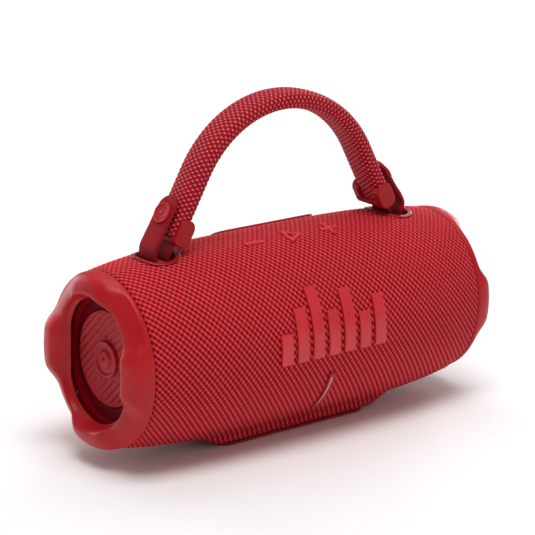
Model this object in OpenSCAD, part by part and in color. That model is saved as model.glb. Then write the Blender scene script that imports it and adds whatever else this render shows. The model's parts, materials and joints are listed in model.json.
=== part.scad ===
// Barrel-shaped portable speaker with a detachable woven carry handle.
// +X runs along the barrel, the front faces -Y, and the origin is the middle of the foot's underside.

/* [Barrel] */
// Distance from the middle to the seam between fabric and bumper
seam_x = 102; // [95:1:106]
// Distance from the middle to the tip of a bumper lobe
tip_x = 114.4; // [112:0.2:118]
// Half depth of the barrel at its middle
mid_d = 46.9; // [46:0.1:48]
// Half height of the barrel at its middle
mid_h = 48; // [47.5:0.1:49]
// Half depth of the barrel at the seam
end_d = 40.2; // [39.5:0.1:42]
// Half height of the barrel at the seam
end_h = 42.7; // [42:0.1:44]
// How late the barrel narrows towards its ends
barrel_pow = 3.5; // [2.5:0.1:4.5]
// Height of the barrel's axis above the table
axis_h = 50.9; // [50.4:0.1:52]

/* [Belly and foot] */
// Half width of the flat belly under the barrel
belly_w = 21.6; // [18:0.2:24]
// Half length of the belly where it is flat
belly_flat = 46; // [40:1:50]
// Half length at which the belly has faded into the barrel
belly_end = 63; // [58:1:70]
// Thickness of the rubber foot
foot_t = 1.3; // [1:0.1:2]

/* [Shells] */
// Thickness of the woven sleeve
fabric_t = 1.6; // [1.2:0.1:1.8]
// Thickness of the slotted frame under the sleeve
frame_t = 2.4; // [2:0.1:2.6]
// Outer radius of the sealed sound chamber
chamber_r = 35.5; // [34:0.1:35.6]
// Wall of the sound chamber
chamber_t = 2.5; // [2:0.1:3]

/* [Handle] */
// Radius of the handle's arch at the middle of its thickness
arch_r = 57.7; // [56:0.1:59]
// Height of the arch's centre above the barrel's axis
arch_c = 54.9; // [54:0.1:57]
// Half angle of the arch, from the top to where each straight leg starts
arch_half = 61; // [60:0.5:62]
// Length of each straight leg
leg_len = 36; // [35:0.1:37]
// Length of the moulded cap at each end of the handle
cap_len = 13.8; // [13:0.1:14.4]
// Thickness of the cap, from its inner face outwards
cap_t = 9.4; // [9:0.1:10.4]
// Half width of the handle, front to back
grip_w = 9; // [8.5:0.1:9.4]
// Half thickness of the handle
grip_t = 4.8; // [4.4:0.1:4.9]

/* [Strap] */
// Distance of each anchor bar from the middle
bar_x = 73.9; // [73.5:0.1:74.2]
// Height of the anchor bars above the barrel's axis
bar_z = 42; // [41.9:0.1:42.3]
// Radius of an anchor bar
bar_r = 2.6; // [2.4:0.1:2.7]
// Thickness of the strap
strap_t = 2; // [1.8:0.1:2]
// Width of the strap
strap_w = 12.5; // [11.5:0.1:13]
// Distance down the leg of the press stud
stud_s = 24; // [23.5:0.1:24.5]

/* [Controls] */
// Distance of the minus and plus buttons from the middle
icon_gap = 23.6; // [22:0.1:26]
// Lean of the top buttons towards the front
icon_lean = 14.4; // [13:0.1:16]
// Lean of the rear buttons towards the back
rear_lean = 33; // [31:0.5:35]
// Middle of the rear panel along the barrel
rear_x = 9; // [0:0.5:10]
// Half length of the rear panel
rear_half = 31; // [30:0.5:32]

/* [Light] */
// Half width of the light's bezel
light_w = 1.8; // [1.4:0.1:2.2]
// Angle from the top at which the bezel starts
light_top = 107.5; // [104:0.5:110]
// Angle from the top at which the bezel ends
light_bottom = 138.5; // [134:0.5:142]

/* [Drivers] */
// Half depth of a passive radiator
disc_d = 23; // [22.6:0.1:23.2]
// Half height of a passive radiator
disc_h = 23.6; // [23:0.1:24]
// Radius of the woofer's voice coil
coil_r = 12.7; // [12.5:0.1:12.9]

/* [Hidden] */
$fn = 64;
fit = 0.3;          // gap between neighbouring pieces
eps = 0.05;         // gap between pieces that sit against each other
well_r = 9.7;       // end radius of a strap well's mouth
well_slot = 5;      // straight length between a well's two ends
frame_out = fabric_t + 0.7;
frame_in = frame_out + frame_t;
belly_h = axis_h - foot_t - 0.25;
box_pow = 14;       // how square the belly is
foot_half = 47;     // half length of the foot
foot_w = belly_w - 3;
leg_x = arch_r * sin(arch_half);
leg_z = axis_h + arch_c + arch_r * cos(arch_half);
loop_r = bar_r + fit + strap_t / 2;   // strap centreline round the bar
lens_w = light_w / 3;                 // half width of the lens
leg_lap = 0.5;      // how far a leg runs into the arch
leg_step = 0.02;    // how much fuller a leg is than the arch, so that the two join cleanly

RED = [0.74, 0.12, 0.15];
BRIGHT = [0.82, 0.22, 0.24];
DARK = [0.42, 0.05, 0.08];
BLACK = [0.12, 0.12, 0.13];
STEEL = [0.72, 0.72, 0.74];

// ---- outline of the barrel ----

function ease(x) = pow(min(abs(x) / seam_x, 1), barrel_pow);
function half_d(x) = mid_d + (end_d - mid_d) * ease(x);
function half_h(x) = mid_h + (end_h - mid_h) * ease(x);
function ramp(t) = let (c = max(0, min(1, t))) c * c * (3 - 2 * c);
// The belly's depth fades from flat to just inside the oval
function belly(x) = belly_h
    + (half_h(x) - 4 - belly_h) * ramp((abs(x) - belly_flat) / (belly_end - belly_flat));

// Distance from the axis to an ellipse with half sizes d and h, at angle a from the top
function oval(a, d, h) = 1 / sqrt(pow(sin(a) / d, 2) + pow(cos(a) / h, 2));
// Distance from the axis to the belly's rounded box, at angle a from the top
function box_r(a, h) = cos(a) > -0.2 ? 1
    : 1 / pow(pow(abs(sin(a)) / belly_w, box_pow) + pow(abs(cos(a)) / h, box_pow), 1 / box_pow);
// Outer radius of the sleeve: the oval and the belly, blended
function skin(a, x) = pow(pow(oval(a, half_d(x), half_h(x)), 60) + pow(box_r(a, belly(x)), 60), 1 / 60);

// One closed ring of points round the axis, an inset below the skin
function ring(x, n, inset) = [
    for (i = [0:n - 1])
        let (a = i * 360 / n, r = skin(a, x) - inset)
            [x, -r * sin(a), axis_h + r * cos(a)]
];

// Faces of a band between ring k and ring m of n points each
function band(k, m, n) = [
    for (i = [0:n - 1], t = [0, 1])
        let (j = (i + 1) % n)
            t == 0 ? [k * n + i, m * n + i, m * n + j] : [k * n + i, m * n + j, k * n + j]
];

// A closed tube from nested loops of rings: rings are joined in order and the last to the first
module ring_solid(rings, n) {
    count = len(rings) / n;
    polyhedron(points = rings, faces = [for (k = [0:count - 1]) each band(k, (k + 1) % count, n)]);
}

// Wall that follows the barrel, between two insets
module barrel_wall(xs, n, outer, inner) {
    last = len(xs) - 1;
    ring_solid([
        for (x = xs) each ring(x, n, outer),
        for (k = [last:-1:0]) each ring(xs[k], n, inner)
    ], n);
}

// ---- placing and small shapes ----

module both_sides(side) mirror([side == "left" ? 1 : 0, 0, 0]) children();

// Local +Z points away from the axis, leaning towards the front (or to the back if negative)
module on_skin(x, lean) translate([x, 0, axis_h]) rotate([lean, 0, 0]) children();

// Local +X points out of the handle and +Z up the right leg, from a point s down the leg
module on_leg(s) {
    translate([leg_x + s * cos(arch_half), 0, leg_z - s * sin(arch_half)])
        rotate([0, arch_half - 90, 0]) children();
}

// Point s down the right leg and n out of it, in the XZ plane
function leg_point(s, n) = [
    leg_x + s * cos(arch_half) + n * sin(arch_half),
    leg_z - s * sin(arch_half) + n * cos(arch_half)
];

function ellipse_points(a, b, n = 48) = [for (i = [0:n - 1]) [a * cos(i * 360 / n), b * sin(i * 360 / n)]];

// Oval plate across the barrel's axis, from x0 to x1, with half depth a and half height b
module oval_plate(x0, x1, a, b) {
    translate([x0, 0, axis_h]) rotate([90, 0, 90]) linear_extrude(x1 - x0) polygon(ellipse_points(a, b));
}

module oval_ring(x0, x1, a, b, in_a, in_b) {
    difference() {
        oval_plate(x0, x1, a, b);
        oval_plate(x0 - 1, x1 + 1, in_a, in_b);
    }
}

// Stadium outline with end radius r and straight length len along Y
module stadium(r, len) {
    square([2 * r, len], center = true);
    for (y = [-len / 2, len / 2]) translate([0, y]) circle(r);
}

module rounded_rect(w, h, r) {
    square([w - 2 * r, h], center = true);
    square([w, h - 2 * r], center = true);
    for (x = [r - w / 2, w / 2 - r], y = [r - h / 2, h / 2 - r]) translate([x, y]) circle(r, $fn = 32);
}

// Rod between two points across the barrel, along X
module x_rod(x0, x1, r) translate([x0, 0, 0]) rotate([0, 90, 0]) cylinder(r = r, h = x1 - x0);

// Curved plate round the axis, of radius r0 to r1, from angle a0 to a1 measured from the top to the front
module arc_plate(x0, x1, r0, r1, a0, a1) {
    translate([x0, 0, axis_h]) rotate([0, 90, 0]) rotate([0, 0, 180 + a0])
        rotate_extrude(angle = a1 - a0, $fn = 128) translate([r0, 0]) square([r1 - r0, x1 - x0]);
}

// Plate in the XZ plane, centred on y = 0
module xz_plate(width) translate([0, width / 2, 0]) rotate([90, 0, 0]) linear_extrude(width) children();

// Outline of a strip of thickness t along a centreline
function unit(v) = v / norm(v);
function heading(p, i) = unit(p[min(i + 1, len(p) - 1)] - p[max(i - 1, 0)]);
function beside(p, off) = [for (i = [0:len(p) - 1]) let (h = heading(p, i)) p[i] + off * [-h[1], h[0]]];
function strip(p, t) = concat(beside(p, t / 2), [for (q = [len(p) - 1:-1:0]) beside(p, -t / 2)[q]]);

// ---- skin, frame and foot ----

sleeve_xs = [-seam_x, -96, -89, -81, -72, -63, -57, -51.5, -46, -23, 0, 23, 46, 51.5, 57, 63, 72, 81, 89, 96, seam_x];
frame_xs = [-seam_x + 0.6, -90, -76, -63, -54.5, -46, 0, 46, 54.5, 63, 76, 90, seam_x - 0.6];

module well_hole(r) {
    for (s = [-1, 1])
        translate([s * bar_x, 0, axis_h + 30]) linear_extrude(30) stadium(r, well_slot);
}

// Bar with round ends, len long and 2r wide
module pill(len, r) {
    square([len - 2 * r, 2 * r], center = true);
    for (s = [-1, 1]) translate([s * (len / 2 - r), 0]) circle(r, $fn = 24);
}

module icon_shape(kind, grow) {
    if (kind != "play") pill(11 + 2 * grow, 1.1 + grow);
    if (kind == "plus") rotate(90) pill(11 + 2 * grow, 1.1 + grow);
    if (kind == "play") translate([-1.4, 0]) difference() {
        circle(6.4 + 2 * grow, $fn = 3);
        circle(3.2 - 2 * grow, $fn = 3);
    }
}

icons = [["minus", -icon_gap], ["play", 1], ["plus", icon_gap]];
rear_keys = [rear_x - 19, rear_x, rear_x + 19];

module light_slot(grow) {
    arc_plate(-light_w - grow, light_w + grow, 40, 52, light_top - grow, light_bottom + grow);
}

module rear_window(grow) {
    on_skin(rear_x, -39) translate([0, 0, 30]) linear_extrude(30)
        rounded_rect(2 * rear_half + 2 * grow, 35 + 2 * grow, 8 + grow);
}

module fabric_sleeve() color(RED) difference() {
    barrel_wall(sleeve_xs, 56, 0, fabric_t);
    well_hole(well_r);
    for (i = icons) on_skin(i[1], icon_lean) translate([0, 0, 40]) linear_extrude(20) icon_shape(i[0], fit);
    light_slot(fit);
    rear_window(fit);
}

module grille_frame() color(BLACK) difference() {
    barrel_wall(frame_xs, 56, frame_out, frame_in);
    well_hole(well_r + 0.3);
    for (i = icons) on_skin(i[1], icon_lean) translate([0, 0, 36]) cylinder(r = 7.2, h = 20);
    for (x = rear_keys) on_skin(x, -rear_lean) translate([0, 0, 36]) cylinder(r = 5.2, h = 20);
    light_slot(1);
    on_skin(rear_x, -49) translate([0, 0, 45]) cube([12, 7, 20], center = true);
    for (x = [-40:10:40]) translate([x - 2.5, -60, axis_h - 21]) cube([5, 30, 42]);
    for (x = [58, 66, 74]) translate([x - 2.5, -60, axis_h - 10]) cube([5, 30, 20]);
}

module base_foot() color(DARK) difference() {
    linear_extrude(foot_t) rounded_rect(2 * foot_half, 2 * foot_w, 7);
    for (y = [-9, 0, 9]) translate([-foot_half + 8, y - 1, -1]) cube([2 * foot_half - 16, 2, 1.5]);
}

// Raised bars like a level meter, standing on one line across the front
bar_heights = [15, 26, 35, 22, 31, 18, 25];

module front_badge() color(BRIGHT) {
    osc_r = mid_h * mid_h / mid_d;
    pitch = 9.8;
    for (i = [0:6]) {
        x = -1.2 + (i - 3) * pitch;
        span = bar_heights[i] / osc_r * 180 / PI;
        translate([0, osc_r - mid_d, 0]) intersection() {
            arc_plate(x - 3.4, x + 3.4, osc_r + eps, osc_r + 1.4, 95 - span, 95);
            translate([x, -osc_r, axis_h - 4.4 + bar_heights[i] / 2]) rotate([90, 0, 0])
                translate([0, 0, -40]) linear_extrude(80) rounded_rect(6.8, bar_heights[i] + 0.6, 1.2);
        }
    }
}

module light_bezel() color(DARK) difference() {
    arc_plate(-light_w, light_w, 45.6, 48.1, light_top + 0.3, light_bottom - 0.3);
    arc_plate(-lens_w - eps, lens_w + eps, 45, 49, light_top + 3, light_bottom - 3);
}

module light_lens() color([0.95, 0.8, 0.8]) {
    arc_plate(-lens_w, lens_w, 45.8, 47.9, light_top + 3.1, light_bottom - 3.1);
}

// ---- rear panel and its board ----

module rear_panel() color(RED) difference() {
    intersection() {
        arc_plate(rear_x - rear_half - 1, rear_x + rear_half + 1, 46.1, 49, -68, -12);
        rear_window(0);
    }
    for (x = rear_keys) on_skin(x, -rear_lean) translate([0, 0, 36]) cylinder(r = 4.8, h = 20);
    on_skin(rear_x, -49) translate([0, 0, 40]) linear_extrude(20) rounded_rect(9.6, 3.8, 1.8);
}

module rear_board() color([0.1, 0.35, 0.2]) {
    on_skin(rear_x, -40) translate([-31, -13, 37]) cube([62, 26, 1.2]);
}

module usb_shell() color(STEEL) on_skin(rear_x, -49) translate([0, 0, 39]) difference() {
    linear_extrude(8.6) rounded_rect(9, 3.2, 1.5);
    translate([0, 0, 0.6]) linear_extrude(10) rounded_rect(8.4, 2.6, 1.25);
}

module usb_tongue() color(BLACK) {
    on_skin(rear_x, -49) translate([-3.2, -0.35, 39.6 + eps]) cube([6.4, 0.7, 6]);
}

// ---- ends ----

// Height of a bumper lobe at angle a: four lobes, at the top, bottom, front and back
function lobe(a) = ramp((cos(4 * a) + 0.75) / 1.35);
function rim_x(a) = 110.3 + (tip_x - 110.3) * lobe(a);

// Point j of the bumper's section at angle a: the distance along X and the inset from the seam's oval
function bumper_section(a) = let (r = rim_x(a), v = 1 - lobe(a)) [
    [seam_x + 0.2, 0.3],
    [seam_x + 3.5, -0.1],
    [r - 4.2, 0.2 + 1.0 * v],
    [r - 1.3, 1.4 + 1.8 * v],
    [r, 3.8 + 2.0 * v],
    [r - 0.3, 6.4 + 1.6 * v],
    [r - 2.4, 8.6 + 0.4 * v],
    [107.8, 10.4 - 0.8 * v],
    [106.6, 12.1 - 0.8 * v],
    [105.4, 11.2 - 0.8 * v],
    [104.4, 10.4 - 0.8 * v],
    [seam_x + 1.7, 10.2 - 0.8 * v],
    [seam_x + 1.7, 4.2],
    [seam_x + 0.2, 4]
];

// The inner edges of the bumper are narrower front to back than the seam
function pinch(a, inset) = inset + 0.04 * pow(inset * sin(a), 2);

function bumper_ring(j, n) = [
    for (i = [0:n - 1])
        let (a = i * 360 / n, q = bumper_section(a)[j], r = oval(a, end_d, end_h) - pinch(a, q[1]))
            [q[0], -r * sin(a), axis_h + r * cos(a)]
];

module bumper(side) color(RED) both_sides(side)
    ring_solid([for (j = [0:13]) each bumper_ring(j, 64)], 64);

screw_spots = [for (a = [45:90:315]) [31.2 * sin(a), 31.2 * cos(a)]];

module end_frame(side) color(BLACK) both_sides(side) difference() {
    union() {
        oval_ring(96, seam_x - 2.4, 34.4, 37.4, disc_d + 2.6, disc_h + 6.6);
        oval_ring(seam_x - 2.4, seam_x + 1.5, 33.6, 37.6, disc_d + 2.6, disc_h + 6.6);
    }
    for (p = screw_spots) translate([90, p[0], axis_h + p[1]]) x_rod(0, 30, 1.35);
    for (p = screw_spots) translate([seam_x - 0.6, p[0], axis_h + p[1]]) x_rod(0, 30, 2.5);
}

// Soft roll that carries the radiator
module radiator_surround(side) color(DARK) both_sides(side) {
    oval_ring(98.6, 100.4, disc_d + 2.5, disc_h + 6.5, disc_d + 0.4, disc_h + 0.4);
}

module radiator(side) color(RED) both_sides(side) {
    oval_plate(97.4, 101.2, disc_d, disc_h);
    intersection() {
        oval_plate(101, 101.9, disc_d - 1, disc_h - 1);
        for (k = [-9:9]) translate([101.4, 0, axis_h]) rotate([-45, 0, 0])
            translate([0, 0, k * 3.6]) cube([2, 60, 1.7], center = true);
    }
}

module radiator_boss(side) color(BRIGHT) both_sides(side) translate([101.9 + eps, 0, axis_h]) {
    rotate([0, 90, 0]) difference() {
        cylinder(r = 9, h = 1.2);
        translate([0, 0, 0.5]) cylinder(r = 7.4, h = 1);
    }
    rotate([0, 90, 0]) cylinder(r = 4.6, h = 1.6);
}

// ---- strap wells ----

cup_floor = axis_h + 35.9;

// Cone that follows the skin round a well, lifted a little off it
module well_skin(lift) {
    reach = 14;
    slope = (half_h(bar_x - 1) - half_h(bar_x + 1)) / 2;
    r = half_h(bar_x) + lift;
    translate([-reach, 0, axis_h]) rotate([0, 90, 0])
        cylinder(r1 = r + reach * slope, r2 = r - reach * slope, h = 2 * reach);
}

module well_cup(side) color(DARK) both_sides(side) translate([bar_x, 0, 0]) difference() {
    union() {
        intersection() {
            translate([0, 0, cup_floor]) linear_extrude(20) stadium(well_r - fit, well_slot);
            well_skin(0.4);
        }
        intersection() {
            translate([0, 0, cup_floor]) linear_extrude(20) stadium(well_r + 0.7, well_slot);
            difference() {
                well_skin(0.65);
                well_skin(0.12);
            }
        }
    }
    translate([0, 0, cup_floor + 0.8]) linear_extrude(20) stadium(well_r - fit - 1.1, well_slot);
    translate([0, 0, axis_h + bar_z]) rotate([90, 0, 0]) cylinder(r = 1.55, h = 40, center = true);
}

// Bar with reduced ends that sit in the well's walls
module anchor_bar(side) color(DARK) both_sides(side) translate([bar_x, 0, axis_h + bar_z]) rotate([90, 0, 0]) {
    cylinder(r = bar_r, h = 20, center = true);
    cylinder(r = 1.5, h = 22.8, center = true);
}

// ---- controls ----

module top_button(kind, x) color(BRIGHT) on_skin(x, icon_lean) {
    translate([0, 0, 45]) linear_extrude(3.7) icon_shape(kind, 0);
    translate([0, 0, 44]) cylinder(r = 6.8, h = 1.1);
    translate([0, 0, 42.1]) cylinder(r = 1.6, h = 2);
}

module rear_button(x) color(BRIGHT) on_skin(x, -rear_lean) {
    translate([0, 0, 44]) cylinder(r = 4.5, h = 5.3);
    translate([0, 0, 41.1]) cylinder(r = 1.6, h = 3);
}

// Generic raised marks on the rear buttons
module rear_mark(kind, x) color(BRIGHT) on_skin(x, -rear_lean) translate([0, 0, 49.2]) {
    if (kind == "power") {
        rotate([0, 0, 130]) rotate_extrude(angle = 280) translate([1.7, 0]) square([0.6, 0.5]);
        translate([-0.3, 0.6, 0]) cube([0.6, 2, 0.5]);
    }
    if (kind == "link") for (s = [-1, 1]) translate([s * 1.1, 0, 0]) difference() {
        cylinder(r = 1.5, h = 0.5);
        translate([0, 0, -1]) cylinder(r = 0.9, h = 3);
    }
    if (kind == "share") {
        for (r = [1.4, 2.6]) rotate([0, 0, 35]) rotate_extrude(angle = 110)
            translate([r, 0]) square([0.55, 0.5]);
        cylinder(r = 0.6, h = 0.5);
    }
}

module button_board() color([0.1, 0.35, 0.2]) {
    on_skin(0, icon_lean) translate([-36, -5.5, 38.6]) cube([72, 11, 1.2]);
}

module tact_switches() color(STEEL) {
    for (i = icons) on_skin(i[1], icon_lean) translate([0, 0, 39.8 + eps]) {
        translate([-2.2, -2.2, 0]) cube([4.4, 4.4, 1]);
        cylinder(r = 1.1, h = 1.5);
    }
    for (x = rear_keys) on_skin(x, -rear_lean) translate([0, 0, 38.6]) {
        translate([-2.2, -2.2, 0.4]) cube([4.4, 4.4, 1]);
        cylinder(r = 1.1, h = 1.8);
    }
}

// ---- sound chamber ----

woofer_x = -6;
woofer_face = -31;       // plane that the woofer's flange sits on
tweeter_x = 66;
chamber_x = 95.6;
flange_x = 92;

// Outline of the woofer: a racetrack of half height r that is w long, extruded along Y from y0 to y1
module racetrack(w, r, y0, y1) {
    translate([woofer_x, y1, axis_h]) rotate([90, 0, 0]) linear_extrude(y1 - y0) rotate([0, 0, 90])
        stadium(r, w - 2 * r);
}

module chamber_solid(r, face, box_x, box_z) {
    intersection() {
        translate([0, 0, axis_h]) x_rod(-chamber_x, chamber_x, r);
        translate([-150, face, axis_h - 60]) cube([300, 200, 120]);
    }
    translate([woofer_x - box_x, face, axis_h - box_z]) cube([2 * box_x, 21, 2 * box_z]);
}

module chamber() {
    difference() {
        chamber_solid(chamber_r, woofer_face, 47.5, 26.5);
        intersection() {
            chamber_solid(chamber_r - chamber_t, woofer_face + chamber_t, 45, 24);
            translate([-flange_x, -60, 0]) cube([2 * flange_x, 120, 120]);
        }
        translate([0, 0, axis_h]) x_rod(-100, 100, 27.6);
        racetrack(82.6, 21.3, -40, -20);
        translate([tweeter_x, -20, axis_h]) rotate([90, 0, 0]) cylinder(r = 11.5, h = 20);
        for (s = [-1, 1], p = screw_spots)
            translate([s * 94 - 4, p[0], axis_h + p[1]]) x_rod(0, 8, 1.25);
    }
}

module chamber_front() color(BLACK) intersection() {
    chamber();
    translate([-150, -100.4, -50]) cube([300, 100, 200]);
}

module chamber_rear() color(BLACK) intersection() {
    chamber();
    translate([-150, 0.4, -50]) cube([300, 100, 200]);
}

module chamber_gasket() color(DARK) for (s = [-1, 1]) {
    translate([-flange_x, -0.3, axis_h + s * (chamber_r - 1.25) - 0.8]) cube([2 * flange_x, 0.6, 1.6]);
}

module frame_screws() color(STEEL) for (s = [-1, 1], p = screw_spots) {
    translate([0, p[0], axis_h + p[1]]) mirror([s < 0 ? 1 : 0, 0, 0]) {
        x_rod(93, seam_x, 1.2);
        difference() {
            x_rod(seam_x - 0.55, seam_x + 1.2, 2.2);
            translate([seam_x + 0.4, 0, 0]) rotate([0, 90, 0]) cylinder(r = 1.1, h = 3, $fn = 6);
        }
    }
}

// ---- drivers ----

module woofer_basket() color(STEEL) difference() {
    union() {
        racetrack(90, 25, woofer_face - 2, woofer_face - eps);
        racetrack(82, 21, woofer_face - 2, -17);
    }
    racetrack(78, 19, -60, -19);
    translate([woofer_x, 0, axis_h]) rotate([90, 0, 0]) cylinder(r = 16, h = 60);
}

module woofer_surround() color(BLACK) difference() {
    racetrack(84, 22, woofer_face - 4.4, woofer_face - 2 - eps);
    racetrack(74, 17, -60, 0);
}

module woofer_cone() color([0.2, 0.2, 0.22]) {
    racetrack(73, 16.5, woofer_face - 3.8, woofer_face - 2.4);
    translate([woofer_x, woofer_face - 2.5, axis_h]) rotate([-90, 0, 0])
        cylinder(r1 = 16, r2 = coil_r + 0.5, h = 6.5);
}

module voice_coil() color([0.75, 0.45, 0.2]) {
    translate([woofer_x, woofer_face + 4 + eps, axis_h]) rotate([-90, 0, 0]) difference() {
        cylinder(r = coil_r + 0.3, h = 14);
        translate([0, 0, -1]) cylinder(r = coil_r - 0.3, h = 16);
    }
}

module woofer_magnet() color([0.3, 0.3, 0.32]) {
    translate([woofer_x, -17 + eps, axis_h]) rotate([-90, 0, 0]) difference() {
        cylinder(r = 19, h = 13);
        translate([0, 0, -1]) difference() {
            cylinder(r = coil_r + 0.7, h = 11);
            cylinder(r = coil_r - 0.7, h = 11);
        }
    }
}

module tweeter_frame() color(BLACK) translate([tweeter_x, woofer_face + 8, axis_h]) rotate([90, 0, 0]) {
    difference() {
        union() {
            cylinder(r = 11.2, h = 10);
            translate([0, 0, 8 + eps]) cylinder(r = 13.4, h = 2 - eps);
        }
        translate([0, 0, 2]) cylinder(r = 9.6, h = 10);
    }
}

module tweeter_dome() color([0.6, 0.6, 0.62]) {
    translate([tweeter_x, woofer_face - 0.4, axis_h]) rotate([90, 0, 0]) intersection() {
        translate([0, 0, -10]) sphere(r = 13.4);
        cylinder(r = 9.2, h = 6);
    }
}

// ---- electronics ----

module battery_cells() color([0.25, 0.4, 0.65]) {
    for (z = [-10, 10]) translate([-80, 14, axis_h + z]) x_rod(0, 66, 9.1);
}

module battery_tray() color(BLACK) translate([-82, 0, axis_h]) difference() {
    translate([0, 14, -20.5]) cube([70, 11.4, 41]);
    for (z = [-10, 10]) translate([-1, 14, z]) x_rod(0, 72, 9.4);
    translate([5, 4, -30]) cube([60, 8, 60]);
}

module main_board() color([0.1, 0.35, 0.2]) {
    translate([0, 20, axis_h - 21]) cube([80, 1.6, 42]);
    for (p = [[10, -12], [34, 4], [58, -6]]) translate([p[0], 17.2, axis_h + p[1]]) cube([12, 2.8, 12]);
    translate([68, 12, axis_h + 8]) cube([7, 8, 7]);
}

module wire_harness() color([0.7, 0.1, 0.1]) for (z = [-4, 0, 4]) {
    translate([-11.6, 15, axis_h + z]) x_rod(0, 21.5, 0.9);
    translate([-6, 15, axis_h + z]) rotate([90, 0, 0]) cylinder(r = 0.9, h = 12);
}

// ---- handle ----

// Outline of the woven grip: x is the thickness and y the width
function grip_points(t, w, n = 32) = [
    for (i = [0:n - 1])
        let (a = i * 360 / n)
            [t * sign(cos(a)) * pow(abs(cos(a)), 0.75), w * sign(sin(a)) * pow(abs(sin(a)), 0.75)]
];

// The arch and both straight legs, for one section of half thickness t and half width w
module grip_bar(t, w, legs) {
    translate([0, 0, axis_h + arch_c]) rotate([90, 0, 0]) rotate([0, 0, 90 - arch_half])
        rotate_extrude(angle = 2 * arch_half, $fn = 128) translate([arch_r, 0]) polygon(grip_points(t, w));
    for (side = ["left", "right"]) both_sides(side) on_leg(legs)
        linear_extrude(legs + leg_lap) polygon(grip_points(t + leg_step, w + leg_step));
}

module handle_sleeve() color(RED) difference() {
    grip_bar(grip_t, grip_w, leg_len - 3.6);
    grip_bar(2.3, 5.8, leg_len - 3.5);
}

module handle_core() color(BLACK) grip_bar(2.25, 5.75, leg_len - 4.5);

module grip_cap(side) color(DARK) both_sides(side) difference() {
    on_leg(leg_len) xz_plate(20) translate([cap_t / 2 - 5.9, cap_len / 2]) rounded_rect(cap_t, cap_len, 4);
    on_leg(leg_len - 3.5) linear_extrude(20) polygon(grip_points(grip_t + eps, grip_w + eps));
    on_leg(leg_len - 5) translate([3, -6.6, 0]) cube([10, 13.2, 20]);
    on_leg(leg_len - 5) translate([-13, -5.5, 0]) cube([10, 11, 20]);
    xz_plate(strap_w + 0.1) polygon(strip(concat([leg_point(leg_len - 3.3, 0)], inner_leg), strap_t + 0.1));
}

// Strap centreline, from inside the cap, down, and round under the bar
inner_leg = [
    leg_point(leg_len - 3.2, 0), leg_point(leg_len, 0),
    [bar_x - loop_r - 0.6, axis_h + bar_z + 5.6], [bar_x - loop_r, axis_h + bar_z + 3]
];
strap_path = concat(
    inner_leg,
    [for (a = [180:15:360]) [bar_x + loop_r * cos(a), axis_h + bar_z + loop_r * sin(a)]]
);
tail_path = [
    [bar_x + loop_r, axis_h + bar_z + 0.1], [bar_x + loop_r + 0.1, axis_h + bar_z + 3],
    [bar_x + loop_r + 0.1, axis_h + bar_z + 6], [bar_x + loop_r - 0.4, axis_h + bar_z + 9],
    leg_point(37.5, 8), leg_point(34, 7.8), leg_point(30.5, 7.5), leg_point(24, 7.5),
    leg_point(18, 7.5), leg_point(15, 7.1)
];

module strap(side) color(DARK) both_sides(side) xz_plate(strap_w) polygon(strip(strap_path, strap_t));

module strap_tail(side) color(RED) both_sides(side) difference() {
    intersection() {
        xz_plate(strap_w) polygon(strip(tail_path, strap_t));
        on_leg(15 + strap_w / 2) union() {
            translate([-20, 0, 0]) x_rod(0, 60, strap_w / 2);
            translate([-20, -strap_w, -60]) cube([80, 2 * strap_w, 60]);
        }
    }
    on_leg(stud_s) x_rod(0, 20, 2.75);
}

// Stud on the grip: a base disc and a post that the snap closes over
module snap_stud(side) color(STEEL) both_sides(side) on_leg(stud_s) {
    x_rod(grip_t + 0.06, grip_t + 0.6, 3.6);
    x_rod(grip_t + 0.5, grip_t + 3.2, 1.65);
}

module snap_cap(side) color(RED) both_sides(side) on_leg(stud_s) difference() {
    union() {
        x_rod(8.6, 9.6, 5.2);
        x_rod(8.6, 10, 3.9);
    }
    x_rod(8, 9.1, 2.8);
}

fabric_sleeve();
grille_frame();
base_foot();
front_badge();
light_bezel();
light_lens();
rear_panel();
usb_shell();
usb_tongue();
rear_board();
bumper("left");  // bumper_left
bumper("right");  // bumper_right
end_frame("left");  // end_frame_left
end_frame("right");  // end_frame_right
radiator_surround("left");  // radiator_surround_left
radiator_surround("right");  // radiator_surround_right
radiator("left");  // radiator_left
radiator("right");  // radiator_right
radiator_boss("left");  // radiator_boss_left
radiator_boss("right");  // radiator_boss_right
well_cup("left");  // well_cup_left
well_cup("right");  // well_cup_right
anchor_bar("left");  // anchor_bar_left
anchor_bar("right");  // anchor_bar_right
top_button("minus", icons[0][1]);  // button_minus
top_button("play", icons[1][1]);  // button_play
top_button("plus", icons[2][1]);  // button_plus
union() { rear_button(rear_keys[2]); rear_mark("power", rear_keys[2]); }  // button_power
union() { rear_button(rear_keys[1]); rear_mark("link", rear_keys[1]); }  // button_link
union() { rear_button(rear_keys[0]); rear_mark("share", rear_keys[0]); }  // button_share
button_board();
tact_switches();
chamber_front();
chamber_rear();
chamber_gasket();
frame_screws();
woofer_basket();
woofer_surround();
woofer_cone();
voice_coil();
woofer_magnet();
tweeter_frame();
tweeter_dome();
battery_cells();
battery_tray();
main_board();
wire_harness();
handle_sleeve();
handle_core();
grip_cap("left");  // grip_cap_left
grip_cap("right");  // grip_cap_right
strap("left");  // strap_left
strap("right");  // strap_right
strap_tail("left");  // strap_tail_left
strap_tail("right");  // strap_tail_right
snap_stud("left");  // snap_stud_left
snap_stud("right");  // snap_stud_right
snap_cap("left");  // snap_cap_left
snap_cap("right");  // snap_cap_right
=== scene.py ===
import json
import math
import bpy
import numpy as np
from mathutils import Matrix, Vector


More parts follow.
